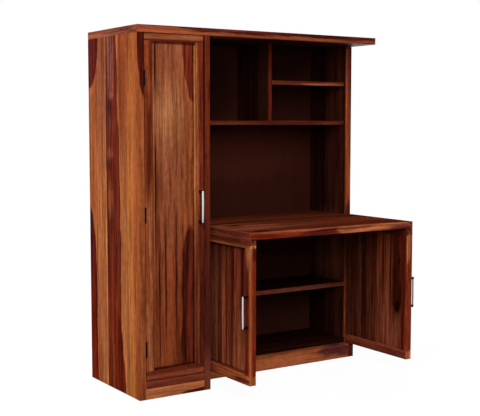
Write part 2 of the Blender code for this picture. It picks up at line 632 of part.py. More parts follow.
# Magnetic catches: a double one where the cabinet doors meet, and one at the left end of the main shelf
# for the folded flap
x_meeting = (X_FLAP + X_RIGHT) / 2
x_flap_catch = X_BAY + FLAP_CATCH_INSET
board("cabinet_catch",
      (x_meeting - CATCH_WIDTH / 2, Y_DESK + LATCH_GAP, Z_FLAP - FIT - CATCH_HEIGHT),
      (x_meeting + CATCH_WIDTH / 2, Y_DESK + LATCH_GAP + CATCH_DEPTH, Z_FLAP - FIT), BLACK_NYLON)
board("flap_catch",
      (x_flap_catch, Y_DESK + FLAP_STANDOFF, MAIN_SHELF_TOP - SHELF - FIT - CATCH_HEIGHT),
      (x_flap_catch + CATCH_WIDTH, Y_SHELF + CATCH_DEPTH, MAIN_SHELF_TOP - SHELF - FIT), BLACK_NYLON)
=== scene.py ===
import math
import random

import bpy
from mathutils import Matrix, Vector


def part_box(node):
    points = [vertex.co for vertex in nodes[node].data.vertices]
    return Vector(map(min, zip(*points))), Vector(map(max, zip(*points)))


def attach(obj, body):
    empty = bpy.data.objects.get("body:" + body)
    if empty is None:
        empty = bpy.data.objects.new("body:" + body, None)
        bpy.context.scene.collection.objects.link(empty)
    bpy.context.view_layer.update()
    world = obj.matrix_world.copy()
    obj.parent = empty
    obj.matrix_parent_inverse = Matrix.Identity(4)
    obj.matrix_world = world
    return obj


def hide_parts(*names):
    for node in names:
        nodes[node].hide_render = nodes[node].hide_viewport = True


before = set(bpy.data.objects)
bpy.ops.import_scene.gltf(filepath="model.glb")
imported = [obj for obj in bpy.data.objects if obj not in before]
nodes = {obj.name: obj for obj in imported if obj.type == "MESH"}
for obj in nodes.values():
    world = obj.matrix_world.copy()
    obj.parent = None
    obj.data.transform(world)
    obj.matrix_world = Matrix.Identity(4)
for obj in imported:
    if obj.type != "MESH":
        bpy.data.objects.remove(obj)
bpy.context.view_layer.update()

# Wardrobe sides: two upright slabs of Indian rosewood, glued up from planks and stood on the floor.
# The wood is planed, sanded and sprayed with a satin lacquer, which leaves the fibre, the dark
# tongues of heartwood and the paler sapwood beside them in view.
MM = 0.001
X, Y, Z = 0, 1, 2
FIBRE_STRETCH = 26  # the figure is drawn out this many times along the fibre
RING_STRETCH = 20  # and at the ends of a board, where the growth rings lie flat, this many times across it
RING_FINENESS = 2  # rings there lie this many times closer than lines do on a face
END_FACING = 0.7  # a face is an end where its normal has at least this share along the fibre
BEND_LENGTH, BEND_REACH = 330 * MM, 24 * MM  # over this length the fibre sways by this much
BROAD_WIDTH = 46 * MM
STREAK_WIDTH = 14 * MM  # growth lines are finer, and are drawn as coarse as they need to show
LINE_WIDTH, LINE_SHARE = 5 * MM, 0.7  # lines count this much against bands and streaks
PORE_WIDTH = 1.6 * MM  # pores are about 0.2 mm wide, and are drawn as coarse as they need to show
PORE_START, PORE_FULL, PORE_SHADE = 0.58, 0.68, 0.76  # where in the noise a pore begins and is full
NOISE_LOW, NOISE_MIDDLE, NOISE_HIGH = 0.3, 0.5, 0.7  # nearly all of a noise lies between the outer two
LIGHT_FIGURE = (1.34, 1.36, 1.36, 1)
DARK_FIGURE = (0.64, 0.56, 0.50, 1)
FIGURE_MIDDLE, FIGURE_SPREAD = 1.35, 0.22
MOTTLE_WIDTH, MOTTLE_LENGTH, MOTTLE_DEPTH = 18 * MM, 30 * MM, 0.13  # a silky unevenness over the figure
VEIN_START, VEIN_FULL = 0.86, 1.14  # where in bands and streaks a vein begins and is full
VEIN_LIGHT, VEIN_DARK = 1.25, 0.7  # heartwood is veined more strongly than the rest
DRIFT = 0.3  # a softer edge than this is only a drift of colour
RECESS_WIDTH, RECESS_SHADE = 8 * MM, 0.16  # painted shade in the corner between a panel and its bead, where shade falls
RAGGED_LENGTH, RAGGED_REACH = 150 * MM, 32 * MM  # over this length a patch's edge strays by this much
RAGGED_SHARE = 2.0  # but no more than this many times the tongue's half width
RIM = 0.22  # usual width of the sapwood beside heartwood, as a share of the heartwood's half size
RIM_LIGHT = 1.28
PAST_SEAM = 9.0  # added to the distance from a patch's middle past its seams, so that it ends there
SEAM_WIDTH, SEAM_SHADE = 1.0 * MM, 0.5
# edges painted lighter: partly rubbed wear, partly a painted highlight where an edge catches light
RUB_AND_HIGHLIGHT_WIDTH, RUB_AND_HIGHLIGHT_LIGHT = 3.5 * MM, 1.2
SATIN_SMOOTH, SATIN_ROUGH = 0.62, 0.78
SATIN_GLOSS = 0.01  # specular level, low because a white room hazes the wood at a slant
PORE_RELIEF = 0.4  # pores count this much against lines in the lacquer's relief


def linear(hex_code):
    """An sRGB hex colour as linear red, green, blue and alpha."""
    shares = [int(hex_code[start:start + 2], 16) / 255 for start in (1, 3, 5)]
    return [*(s / 12.92 if s <= 0.04045 else ((s + 0.055) / 1.055) ** 2.4 for s in shares), 1.0]


def add(material, kind, inputs=None, **settings):
    """Add a shader node. Each input is a value, or the output that feeds it."""
    node = material.node_tree.nodes.new("ShaderNode" + kind)
    for name, value in settings.items():
        setattr(node, name, value)
    for key, value in (inputs or {}).items():
        if isinstance(value, bpy.types.NodeSocket):
            material.node_tree.links.new(value, node.inputs[key])
        else:
            node.inputs[key].default_value = value
    return node.outputs


def finish(name):
    """A new material and the inputs of its shader."""
    material = bpy.data.materials.new(name)
    material.use_nodes = True
    return material, material.node_tree.nodes["Principled BSDF"].inputs


def coat(piece, material):
    """Give a piece one finish all over."""
    piece.data.materials.clear()
    piece.data.materials.append(material)


def colour_patch(colour, centre, half, soft=0.05, rim=0, between=()):
    """A patch of other colour, mostly heartwood, some painted shade or light: an ellipse in mm, with None
    for an axis that it runs through.

    soft is how far its edge fades and rim how wide its pale border is, as shares of its half size.
    between gives two seams that it stays between.
    """
    return colour, centre, half, soft, rim, between


def rosewood(node, along, across, planks, colour_patches=(), bold=1.0, recess=None, gloss=SATIN_GLOSS, ends=None):
    """Give a node glued-up planks, with the fibre along one axis and the planks side by side on another.

    planks are (start in mm, colour), or (start, colour, blend) where the colour drifts within one plank.
    bold deepens the figure. recess is how far in from the node's edges, in mm, the corner lies that is
    painted darker as shade.
    gloss is the lacquer's specular level, and ends the colour of the ends: a strip glued across them,
    except on the right door's top rail, where it is painted light.
    """
    material, shader = finish(f"lacquered_rosewood_{node}")
    low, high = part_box(node)
    span = high[across] - low[across]
    place = add(material, "TexCoord")["Object"]
    position = add(material, "SeparateXYZ", {0: place})[across]
    share = add(material, "MapRange", {0: position, 1: low[across], 2: high[across]})[0]

    # Planks: each has its colour, its own stretch of fibre and a dark glue line
    draw = random.Random(node)
    bands, offsets, glue = (add(material, "ValToRGB", {0: share})[0] for ramp in range(3))
    for ramp in (offsets, glue):
        ramp.node.color_ramp.interpolation = "CONSTANT"
    tints, stretches, joints = (socket.node.color_ramp.elements for socket in (bands, offsets, glue))
    for stops in (tints, stretches, joints):
        stops.remove(stops[1])
    tints[0].color = linear(planks[0][1])
    stretches[0].color = (draw.random(), draw.random(), draw.random(), 1)
    joints[0].color = (1, 1, 1, 1)
    before = planks[0][1]
    for start, colour, *blend in planks[1:]:
        seam = (start * MM - low[across]) / span
        half = (blend[0] * MM if blend else SEAM_WIDTH) / span / 2
        tints.new(seam - half).color = linear(before)
        tints.new(seam + half).color = linear(colour)
        if not blend:
            stretches.new(seam).color = (draw.random(), draw.random(), draw.random(), 1)
            joints.new(seam - half).color = (SEAM_SHADE, SEAM_SHADE, SEAM_SHADE, 1)
            joints.new(seam + half).color = (1, 1, 1, 1)
        before = colour
    colour = bands
    within = None

    # Patches, mostly heartwood and some painted shade or painted light, have a ragged edge, and some have a
    # pale rim
    if colour_patches:
        ragged = add(material, "TexNoise",
                     {"Vector": place, "Scale": 1 / RAGGED_LENGTH, "Detail": 3.0})["Color"]
        centred = add(material, "VectorMath", {0: ragged, 1: [NOISE_MIDDLE] * 3}, operation="SUBTRACT")[0]
    for patch_colour, centre, half, soft, rim, between in colour_patches:
        swing = min([RAGGED_REACH] + [RAGGED_SHARE * h * MM for h in half if h])
        moved = add(material, "VectorMath", {0: centred, 1: [swing] * 3, 2: place},
                    operation="MULTIPLY_ADD")[0]
        scale = [0.0 if h is None else 1 / (h * MM) for h in half]
        shift = [0.0 if c is None else -c * MM * s for c, s in zip(centre, scale)]
        unit = add(material, "Mapping", {"Vector": moved, "Location": shift, "Scale": scale})[0]
        reach = add(material, "VectorMath", {0: unit}, operation="LENGTH")["Value"]
        for limit, operation in zip(between, ("LESS_THAN", "GREATER_THAN")):
            outside = add(material, "Math", {0: position, 1: limit * MM}, operation=operation)[0]
            reach = add(material, "Math", {0: outside, 1: PAST_SEAM, 2: reach}, operation="MULTIPLY_ADD")[0]
        if rim:
            pale = add(material, "MapRange", {0: reach, 1: 1 + rim, 2: 1.0, 3: 1.0, 4: RIM_LIGHT})[0]
            colour = add(material, "VectorMath", {0: colour, "Scale": pale}, operation="SCALE")[0]
        inside = add(material, "MapRange", {0: reach, 1: 1 + soft, 2: 1 - soft},
                     interpolation_type="SMOOTHSTEP")[0]
        colour = add(material, "Mix", {0: inside, 6: colour, 7: linear(patch_colour)}, data_type="RGBA")[2]
        if soft < DRIFT and within:
            within = add(material, "Math", {0: within, 1: inside}, operation="MAXIMUM")[0]
        elif soft < DRIFT:
            within = inside

    # Figure: broad bands, streaks and fine lines, drawn out along the fibre and bent a little
    stretch = [1.0, 1.0, 1.0]
    stretch[along] = 1 / FIBRE_STRETCH
    drawn_out = add(material, "Mapping", {"Vector": place, "Scale": stretch})[0]
    rings = [RING_FINENESS] * 3
    rings[across] = 1 / RING_STRETCH
    end_grain = add(material, "Mapping", {"Vector": place, "Scale": rings})[0]
    facing = add(material, "SeparateXYZ", {0: add(material, "TexCoord")["Normal"]})[along]
    turned = add(material, "Math", {0: facing}, operation="ABSOLUTE")[0]
    at_end = add(material, "Math", {0: turned, 1: END_FACING}, operation="GREATER_THAN")[0]
    drawn_out = add(material, "Mix", {0: at_end, 4: drawn_out, 5: end_grain}, data_type="VECTOR")[1]
    if ends:
        colour = add(material, "Mix", {0: at_end, 6: colour, 7: linear(ends)}, data_type="RGBA")[2]
        offsets = add(material, "Mix", {0: at_end, 6: offsets, 7: (0, 0, 0, 1)}, data_type="RGBA")[2]
    own = add(material, "VectorMath", {0: drawn_out, 1: offsets}, operation="ADD")[0]
    bend = add(material, "TexNoise", {"Vector": place, "Scale": 1 / BEND_LENGTH, "Detail": 1.0})["Color"]
    sway = [BEND_REACH] * 3
    sway[along] = 0.0
    fibre = add(material, "VectorMath", {0: bend, 1: sway, 2: own}, operation="MULTIPLY_ADD")[0]
    broad = add(material, "TexNoise", {"Vector": fibre, "Scale": 1 / BROAD_WIDTH, "Detail": 2.0})[0]
    streak = add(material, "TexNoise", {"Vector": fibre, "Scale": 1 / STREAK_WIDTH, "Detail": 3.0})[0]
    line = add(material, "TexNoise", {"Vector": fibre, "Scale": 1 / LINE_WIDTH, "Detail": 2.0})[0]
    pore = add(material, "TexNoise", {"Vector": fibre, "Scale": 1 / PORE_WIDTH, "Detail": 1.0})[0]
    pair = add(material, "Math", {0: broad, 1: streak}, operation="ADD")[0]
    figure = add(material, "Math", {0: line, 1: LINE_SHARE, 2: pair}, operation="MULTIPLY_ADD")[0]
    reach = FIGURE_SPREAD / bold
    tone = add(material, "MapRange", {0: figure, 1: FIGURE_MIDDLE - reach, 2: FIGURE_MIDDLE + reach})[0]
    shade = add(material, "Mix", {0: tone, 6: LIGHT_FIGURE, 7: DARK_FIGURE}, data_type="RGBA")[2]
    figured = add(material, "VectorMath", {0: colour, 1: shade}, operation="MULTIPLY")[0]
    crossed = [1 / MOTTLE_WIDTH] * 3
    crossed[along] = 1 / MOTTLE_LENGTH
    ripple = add(material, "Mapping", {"Vector": place, "Scale": crossed})[0]
    mottle = add(material, "TexNoise", {"Vector": ripple, "Scale": 1.0, "Detail": 2.0})[0]
    sheen = {0: mottle, 1: NOISE_LOW, 2: NOISE_HIGH, 3: 1 - MOTTLE_DEPTH, 4: 1 + MOTTLE_DEPTH}
    silk = add(material, "MapRange", sheen)[0]
    if within:
        contrast = {0: pair, 1: VEIN_START, 2: VEIN_FULL, 3: VEIN_LIGHT, 4: VEIN_DARK}
        veined = add(material, "MapRange", contrast)[0]
        veins = add(material, "Mix", {0: within, 2: 1.0, 3: veined})[0]
        silk = add(material, "Math", {0: silk, 1: veins}, operation="MULTIPLY")[0]

    # Pores and glue lines darken it, and the edges are lighter: partly rubbed by hands, partly a painted
    # highlight
    pored = add(material, "MapRange", {0: pore, 1: PORE_START, 2: PORE_FULL, 3: 1.0, 4: PORE_SHADE})[0]
    dark = add(material, "Math", {0: pored, 1: glue}, operation="MULTIPLY")[0]
    from_low = add(material, "VectorMath", {0: place, 1: low}, operation="SUBTRACT")[0]
    from_high = add(material, "VectorMath", {0: high, 1: place}, operation="SUBTRACT")[0]
    depths = add(material, "VectorMath", {0: from_low, 1: from_high}, operation="MINIMUM")[0]
    depth_x, depth_y, depth_z = add(material, "SeparateXYZ", {0: depths})
    least = add(material, "Math", {0: depth_x, 1: depth_y}, operation="MINIMUM")[0]
    most = add(material, "Math", {0: depth_x, 1: depth_y}, operation="MAXIMUM")[0]
    second = add(material, "Math", {0: most, 1: depth_z}, operation="MINIMUM")[0]
    to_edge = add(material, "Math", {0: least, 1: second}, operation="MAXIMUM")[0]
    rubbed_and_highlighted = add(material, "MapRange", {0: to_edge, 1: RUB_AND_HIGHLIGHT_WIDTH, 2: 0.0, 3: 1.0, 4: RUB_AND_HIGHLIGHT_LIGHT})[0]
    level = add(material, "Math", {0: dark, 1: rubbed_and_highlighted}, operation="MULTIPLY")[0]
    level = add(material, "Math", {0: level, 1: silk}, operation="MULTIPLY")[0]
    # Painted shade: a panel is darkened along the corner where it meets its bead, where shade falls
    if recess:
        sideways = depth_y if high.y - low.y > high.x - low.x else depth_x
        wide = add(material, "Math", {0: sideways, 1: depth_z}, operation="MINIMUM")[0]
        away = add(material, "Math", {0: wide, 1: recess * MM}, operation="SUBTRACT")[0]
        apart = add(material, "Math", {0: away}, operation="ABSOLUTE")[0]
        tone_with_painted_shade = add(material, "MapRange", {0: apart, 1: RECESS_WIDTH, 2: 0.0, 3: 1.0, 4: RECESS_SHADE})[0]
        level = add(material, "Math", {0: level, 1: tone_with_painted_shade}, operation="MULTIPLY")[0]
    worn_with_painted_light = add(material, "VectorMath", {0: figured, "Scale": level}, operation="SCALE")[0]
    material.node_tree.links.new(worn_with_painted_light, shader["Base Color"])

    # Satin lacquer: a little rougher on the lines, and sunk into the pores
    satin = {0: line, 1: NOISE_LOW, 2: NOISE_HIGH, 3: SATIN_SMOOTH, 4: SATIN_ROUGH}
    rough = add(material, "MapRange", satin)[0]
    material.node_tree.links.new(rough, shader["Roughness"])
    shader["Specular IOR Level"].default_value = gloss
    relief = add(material, "Math", {0: pored, 1: PORE_RELIEF, 2: line}, operation="MULTIPLY_ADD")[0]
    bump = add(material, "Bump", {"Strength": 0.25, "Distance": 0.3 * MM, "Height": relief})[0]
    material.node_tree.links.new(bump, shader["Normal"])
    coat(nodes[node], material)


rosewood("wardrobe_side_left", Z, Y,
         [(-108, "#964F2A"), (-62, "#A65F2C", 30), (-28, "#B06A34", 10), (-8, "#A05F35", 10),
          (212, "#B67640"), (222, "#A25F38"), (312, "#98532C")],
         [colour_patch("#844020", (None, 30, 1520), (None, 70, 460), soft=0.7),
          colour_patch("#80442B", (None, 265, 1500), (None, 60, 420), soft=0.7),
          colour_patch("#5C1E0E", (None, 160, 600), (None, 90, 1300), rim=RIM, between=(-10, 212)),
          colour_patch("#571807", (None, 160, 0), (None, 130, 400), rim=RIM, between=(-10, 212)),
          # Painted sheen: a lighter, purplish patch at the top of the heartwood strip
          colour_patch("#7A4238", (None, 170, 1610), (None, 38, 330), soft=0.6, between=(-10, 212)),
          colour_patch("#481712", (None, 160, 1320), (None, 44, 50), soft=0.9),
          colour_patch("#884630", (None, 160, 1374), (None, 20, 16), soft=0.95),
          colour_patch("#46160F", (None, 178, 1055), (None, 32, 34), soft=0.9),
          colour_patch("#723824", (None, 176, 1100), (None, 34, 22), soft=0.95),
          colour_patch("#40140C", (None, 165, 860), (None, 46, 110), soft=0.8),
          colour_patch("#7E3A1E", (None, 172, 890), (None, 26, 66), soft=0.9),
          colour_patch("#40130B", (None, 115, 620), (None, 8, 120), soft=0.7),
          colour_patch("#682611", (None, 168, 170), (None, 36, 250), soft=0.8),
          colour_patch("#5A1812", (None, 402, 1640), (None, 108, 235), rim=RIM),
          colour_patch("#4E1209", (None, 402, 430), (None, 76, 415), rim=RIM),
          colour_patch("#5A1406", (None, 402, 0), (None, 80, 520), rim=RIM),
          colour_patch("#521B11", (-662, -108, 1670), (36, 8, 310))])
rosewood("wardrobe_side_right", Z, Y,
         [(-108, "#622511"), (0, "#54241A"), (90, "#6A321E"), (190, "#8A4A28"), (300, "#54241A")],
         [colour_patch("#4A1C14", (None, -108, 100), (None, 60, 700), soft=0.5),
          colour_patch("#6E3626", (None, -108, 30), (None, 30, 130), soft=0.7),
          # Painted shade: a dark strip down the front edge beside the door's gap
          colour_patch("#300E08", (-359, -108, 1450), (8, 12, 600), soft=0.5)], bold=1.8)

# Wardrobe inside: a floor on its plinth, three shelves and a back, let in between the sides.
# Plinth and floor are offcuts of the same rosewood; the shelves are stained darker, and the back is
# a thin board that was stained before it was fitted.
INSIDE_WOOD = ("#5A2A1C", "#4A2016", "#643022")
PLANK_WIDTH, PLANK_LEAST, PLANK_MOST = 95, 0.75, 1.25  # in mm, and the shares of it that a plank has
LAST_PLANK = 1.5  # a further plank is glued on where more than this many widths are left
STAIN_FRONT, STAIN_BEHIND = 0.08, 0.25  # how far the figure shows through the stain, thinner behind
STAIN_LOW, STAIN_HIGH = 0.7, 1.3  # nearly all of the figure under the stain lies between these
STAIN_SMOOTH, STAIN_ROUGH = 0.66, 0.8
PATCH_CORE = 0.4  # share of a patch's half size within which it has its full effect


def glued_up(node, across, colours):
    """Planks of about one width over a node, in colours drawn from a list."""
    draw = random.Random(node + " planks")
    low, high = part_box(node)
    start, end = low[across] / MM, high[across] / MM
    planks = [(start, draw.choice(colours))]
    while start + LAST_PLANK * PLANK_WIDTH < end:
        start += PLANK_WIDTH * draw.uniform(PLANK_LEAST, PLANK_MOST)
        planks.append((start, draw.choice(colours)))
    return planks


def stained_board(node, below, above, level=0, patches=()):
    """A thin upright board, stained dark so that its figure hardly shows in front.

    It has one colour below a level in mm, and another above it and behind; a darker one above is painted
    shade. patches are painted shade or painted light: (share of light, centre, half size) in mm, where the
    board is painted darker or lighter.
    """
    material, shader = finish(f"stained_board_{node}")
    place = add(material, "TexCoord")["Object"]
    drawn_out = add(material, "Mapping", {"Vector": place, "Scale": (1.0, 1.0, 1 / FIBRE_STRETCH)})[0]
    streak = add(material, "TexNoise", {"Vector": drawn_out, "Scale": 1 / STREAK_WIDTH, "Detail": 3.0})[0]
    broad = add(material, "TexNoise", {"Vector": drawn_out, "Scale": 1 / BROAD_WIDTH, "Detail": 2.0})[0]
    figure = add(material, "Math", {0: streak, 1: broad}, operation="ADD")[0]
    behind = add(material, "SeparateXYZ", {0: add(material, "TexCoord")["Normal"]})[Y]
    depth = add(material, "MapRange", {0: behind, 1: -1.0, 2: 1.0, 3: STAIN_FRONT, 4: STAIN_BEHIND})[0]
    swing = add(material, "MapRange", {0: figure, 1: STAIN_LOW, 2: STAIN_HIGH, 3: 1.0, 4: -1.0})[0]
    tone = add(material, "Math", {0: depth, 1: swing, 2: 1.0}, operation="MULTIPLY_ADD")[0]
    for light, centre, half in patches:
        scale = [1 / (h * MM) for h in half]
        shift = [-c * MM * s for c, s in zip(centre, scale)]
        unit = add(material, "Mapping", {"Vector": place, "Location": shift, "Scale": scale})[0]
        reach = add(material, "VectorMath", {0: unit}, operation="LENGTH")["Value"]
        amount = add(material, "MapRange", {0: reach, 1: 1.0, 2: PATCH_CORE, 3: 1.0, 4: light},
                     interpolation_type="SMOOTHSTEP")[0]
        tone = add(material, "Math", {0: tone, 1: amount}, operation="MULTIPLY")[0]
    height = add(material, "SeparateXYZ", {0: place})[Z]
    higher = add(material, "Math", {0: height, 1: level * MM}, operation="GREATER_THAN")[0]
    upper = add(material, "Math", {0: higher, 1: behind}, operation="MAXIMUM")[0]
    tone_with_painted_shade = add(material, "Mix", {0: upper, 6: linear(below), 7: linear(above)}, data_type="RGBA")[2]
    colour = add(material, "VectorMath", {0: tone_with_painted_shade, "Scale": tone}, operation="SCALE")[0]
    material.node_tree.links.new(colour, shader["Base Color"])
    dull = {0: streak, 1: NOISE_LOW, 2: NOISE_HIGH, 3: STAIN_SMOOTH, 4: STAIN_ROUGH}
    rough = add(material, "MapRange", dull)[0]
    material.node_tree.links.new(rough, shader["Roughness"])
    shader["Specular IOR Level"].default_value = 0.03
    bump = add(material, "Bump", {"Strength": 0.15, "Distance": 0.2 * MM, "Height": streak})[0]
    material.node_tree.links.new(bump, shader["Normal"])
    coat(nodes[node], material)


rosewood("wardrobe_plinth", X, Z, [(0, "#B66B42")],
         [colour_patch("#6A2418", (-340, None, 0), (140, None, 15))])
rosewood("wardrobe_floor", X, Y,
         [(-108, "#853E2C"), (-96, "#5E2A20"), (0, "#643022"), (110, "#5A2A1C"), (240, "#643022")])
for number in (1, 2, 3):
    shelf = f"wardrobe_shelf_{number}"
    rosewood(shelf, X, Y, glued_up(shelf, Y, INSIDE_WOOD))
stained_board("wardrobe_back", "#34160F", "#34160F")

# Desk carcass: two rosewood sides on a plinth frame, with the cabinet's floor and shelf, the fixed top, the
# bookshelf and its divider between them. Their front edges are a lighter, redder wood; behind them the
# shelves, the divider, the cabinet's floor, the fixed top and the right side's inner face are painted very
# dark, darker towards the back, as painted shade. A thin board that was stained beforehand closes the back.
rosewood("desk_plinth_left", Y, Z, [(0, "#6E2A1A")])
rosewood("desk_plinth_right", Y, Z, [(0, "#6E2A1A")])
rosewood("desk_plinth_front", X, Z, [(0, "#B16039")],
         # Painted light: the left end is painted lighter, against the shade of the door and the wardrobe
         [colour_patch("#D47446", (-205, None, 10), (50, None, 40), soft=0.8),
          colour_patch("#6C3331", (548, None, 46), (118, None, 28), soft=0.3)])
rosewood("desk_side_left", Z, Y, glued_up("desk_side_left", Y, INSIDE_WOOD))
# Painted shade and painted light: the inner face is painted very dark, darkest towards the back, and
# lighter just under the flap, against its shadow; the outer face has lighter planks
rosewood("desk_side_right", Z, Y,
         [(81, "#AA542C"), (90, "#461E15"), (170, "#3A1812"), (260, "#260E0A"), (330, "#28100B")],
         [colour_patch("#74402C", (630, 230, 570), (10, 170, 160), soft=0.6),
          colour_patch("#8C4230", (640, 81, 1640), (40, 8, 230), soft=0.5),
          colour_patch("#561A16", (663, 81, 1560), (11, 8, 300), soft=0.4),
          colour_patch("#5A1E16", (663, 81, 770), (34, 8, 64), soft=0.5)] +
         [colour_patch(colour, (663, None, None), (9, None, None), between=between)
          for colour, between in (("#7A3A22", (90, 170)), ("#8A4A2C", (170, 260)), ("#6E321F", (260, 330)),
                                  ("#80422A", (330, 400)))], bold=1.5)
# Painted shade: behind their front edges these parts are painted very dark, darker towards the back, where
# shade falls
rosewood("cabinet_floor", X, Y, [(81, "#280F08"), (190, "#220D08"), (300, "#1A0805")])
rosewood("cabinet_shelf", X, Y, [(85, "#7E402B"), (94, "#2E110A"), (220, "#260E08"), (310, "#240D08")],
         bold=1.6)
rosewood("desk_fixed_top", X, Y, [(80, "#6A3018"), (170, "#5A2615"), (290, "#4A1E12")])
rosewood("bookshelf_main_shelf", X, Y, [(102, "#682C20"), (110, "#2E120B"), (230, "#34160E")],
         [colour_patch("#84442A", (-120, 102, 1244), (170, 8, 6), soft=0.5)], bold=1.6)
rosewood("bookshelf_divider", Z, Y,
         [(102, "#5A2012"), (110, "#34180E"), (200, "#28110B"), (270, "#2E120C")], bold=1.5)
rosewood("bookshelf_small_shelf", X, Y, [(102, "#682B1C"), (110, "#2E120B"), (240, "#34160E")],
         [colour_patch("#A25C36", (500, 102, 1446), (130, 8, 6), soft=0.4)])
# Painted shade and painted light: darker above the writing top and in the upper bays, lighter in the niche
# under the main shelf
stained_board("desk_back", "#3D1C15", "#35150E", level=745,
              patches=[(0.45, (-80, 390, 1420), (330, 8, 260)), (0.6, (400, 390, 1580), (300, 8, 170)),
                       (1.6, (150, 390, 1090), (700, 8, 190))])

# Top board: one wide rosewood slab over the wardrobe and the bookshelf, with its fibre along the unit.
# It is planed flat and laid on the sides, with a strip glued across its ends, and a tongue of heartwood
# runs along its upper front corner.
rosewood("top_board", X, Y,
         [(-108, "#884428"), (60, "#7A4028"), (150, "#9A5834"), (250, "#7E3E2A"), (330, "#8A4A34")],
         # Painted shade: the underside is painted very dark, where shade falls under the top
         [colour_patch("#24100A", (170, 190, 1643), (860, 285, 6), soft=0.2),
          colour_patch("#64271D", (340, -108, 1682), (1100, 70, 25)),
          colour_patch("#683126", (-697, -20, None), (620, 80, None), rim=RIM),
          colour_patch("#763427", (-697, 330, None), (520, 75, None), rim=RIM)], ends="#834732")

# Wardrobe door: rosewood, with two through rails, two stiles tenoned between them and a panel loose in
# their grooves. A mitred quarter-round bead is pinned round the panel.
rosewood("wardrobe_door_stile_hinge", Z, X, [(-661, "#A45C38"), (-636, "#8E4E2E", 8)],
         [colour_patch("#7A351D", (-648, None, 1380), (44, None, 480), soft=0.2, rim=RIM),
          colour_patch("#8E3A1A", (-657, None, 1500), (3, None, 90), soft=0.5)], bold=1.6)
rosewood("wardrobe_door_stile_handle", Z, X,
         [(-398, "#A8643C"), (-391, "#84402A", 8), (-384, "#6E2A16", 8)],
         [colour_patch("#562419", (-372, None, 150), (40, None, 600), soft=0.5, between=(-384, 0)),
          colour_patch("#7A3A20", (-394, None, 250), (14, None, 560), soft=0.5, between=(-399, -384))],
         bold=1.7)
# Painted shade: the rail's lower edge is painted dark red, where shade falls under it
rosewood("wardrobe_door_rail_top", X, Z, [(1607, "#581E14"), (1616, "#8A4C30", 6), (1634, "#783C22", 6)])
rosewood("wardrobe_door_rail_bottom", X, Z, [(85, "#6A2C1A"), (91, "#884229", 4), (111, "#6A291A", 5)])
rosewood("wardrobe_door_panel", Z, X,
         # Painted shadow: the narrow dark plank at the panel's left edge stands for the stile's shadow
         [(-634, "#8C4A2A"), (-607, "#32110A", 3), (-598, "#7C4026", 5), (-580, "#8E4E32", 30),
          (-470, "#8A4828", 30)],
         [colour_patch("#662618", (-404, None, 1640), (60, None, 300), rim=RIM),
          # Painted sheen: a lighter patch high on the panel
          colour_patch("#A0643F", (-540, None, 1290), (70, None, 120), soft=0.8),
          colour_patch("#823D21", (-520, None, 250), (120, None, 480), soft=0.7),
          colour_patch("#42180B", (-553, None, 540), (5, None, 280), soft=0.5),
          colour_patch("#3E160A", (-500, None, 560), (5, None, 300), soft=0.5),
          colour_patch("#42180B", (-585, None, 420), (4, None, 260), soft=0.5),
          colour_patch("#501D12", (-428, None, 545), (46, None, 235), soft=0.12, rim=0.1),
          colour_patch("#1C0806", (-441, None, 445), (5, None, 20), soft=0.6),
          colour_patch("#571F13", (-425, None, 160), (48, None, 440), soft=0.12)], bold=1.3, recess=13.7)
rosewood("wardrobe_door_moulding", Z, X, [(-625, "#7A4024"), (-500, "#94502E", 60)],
         # Painted highlight: the bead's upper right is painted lighter, where light from the left catches
         # it
         [colour_patch("#C47C46", (-401, None, 1350), (30, None, 400), soft=0.5),
          colour_patch("#6E3020", (-401, None, 200), (30, None, 480), soft=0.5),
          # Painted shade: dark bands along the bead's top and bottom
          colour_patch("#6C2C1E", (None, None, 1602), (None, None, 7), soft=0.3),
          colour_patch("#46180E", (None, None, 132), (None, None, 5), soft=0.1)])

# Cabinet doors: two rosewood doors, framed and panelled like the wardrobe's, with the bead on the outer
# face. They turn on pivots at the cabinet's sides, and when open they carry the flap.
rosewood("left_door_panel", Z, Y,
         [(-373, "#84382A"), (-335, "#682A24"), (-307, "#92452E"), (-278, "#A65236"), (-242, "#722F1F"),
          (-222, "#AA5638"), (-190, "#64291E"), (-178, "#AC583A"), (-145, "#703724"), (-107, "#8E4A30"),
          (-60, "#824430")],
         [colour_patch("#4E1A10", (None, -246, 560), (None, 5, 200), soft=0.5),
          colour_patch("#4E1A10", (None, -316, 540), (None, 5, 180), soft=0.5),
          colour_patch("#351510", (None, -110, 960), (None, 180, 330), soft=0.9),
          colour_patch("#AE603E", (None, -310, 170), (None, 60, 150), soft=0.8)], bold=1.8, recess=13.7)
rosewood("left_door_stile_handle", Z, Y, [(-401, "#983620"), (-384, "#7C2210", 10)],
         [colour_patch("#5C271A", (None, -362, 520), (None, 60, 260), soft=0.5, between=(-388, 0)),
          colour_patch("#AC6440", (-300, -401, 695), (12, 34, 100), soft=0.3),
          colour_patch("#B86A3C", (-300, -401, 380), (11, 6, 420), soft=0.5),
          colour_patch("#84301C", (-267, -401, 380), (14, 6, 420), soft=0.5),
          colour_patch("#4E1C1A", (-276, -401, 664), (7, 6, 30), soft=0.3)])
rosewood("left_door_stile_hinge", Z, Y, [(43, "#8A4628")])
rosewood("left_door_rail_top", Y, Z, [(694, "#A05E36"), (703, "#6E2E1C", 5)],
         [colour_patch("#B47246", (None, -401, 692), (None, 6, 13), soft=0.3)], bold=1.7)
rosewood("left_door_rail_bottom", Y, Z, [(75, "#B65F36"), (88, "#C0683B", 10)],
         [colour_patch("#90442B", (None, 43, 90), (None, 170, 60), soft=0.7),
          colour_patch("#742C22", (-300, -350, 93), (6, 75, 10), soft=0.4)], bold=1.5, ends="#A3552B")
rosewood("left_door_moulding", Z, Y, [(-365, "#7A3A22")])
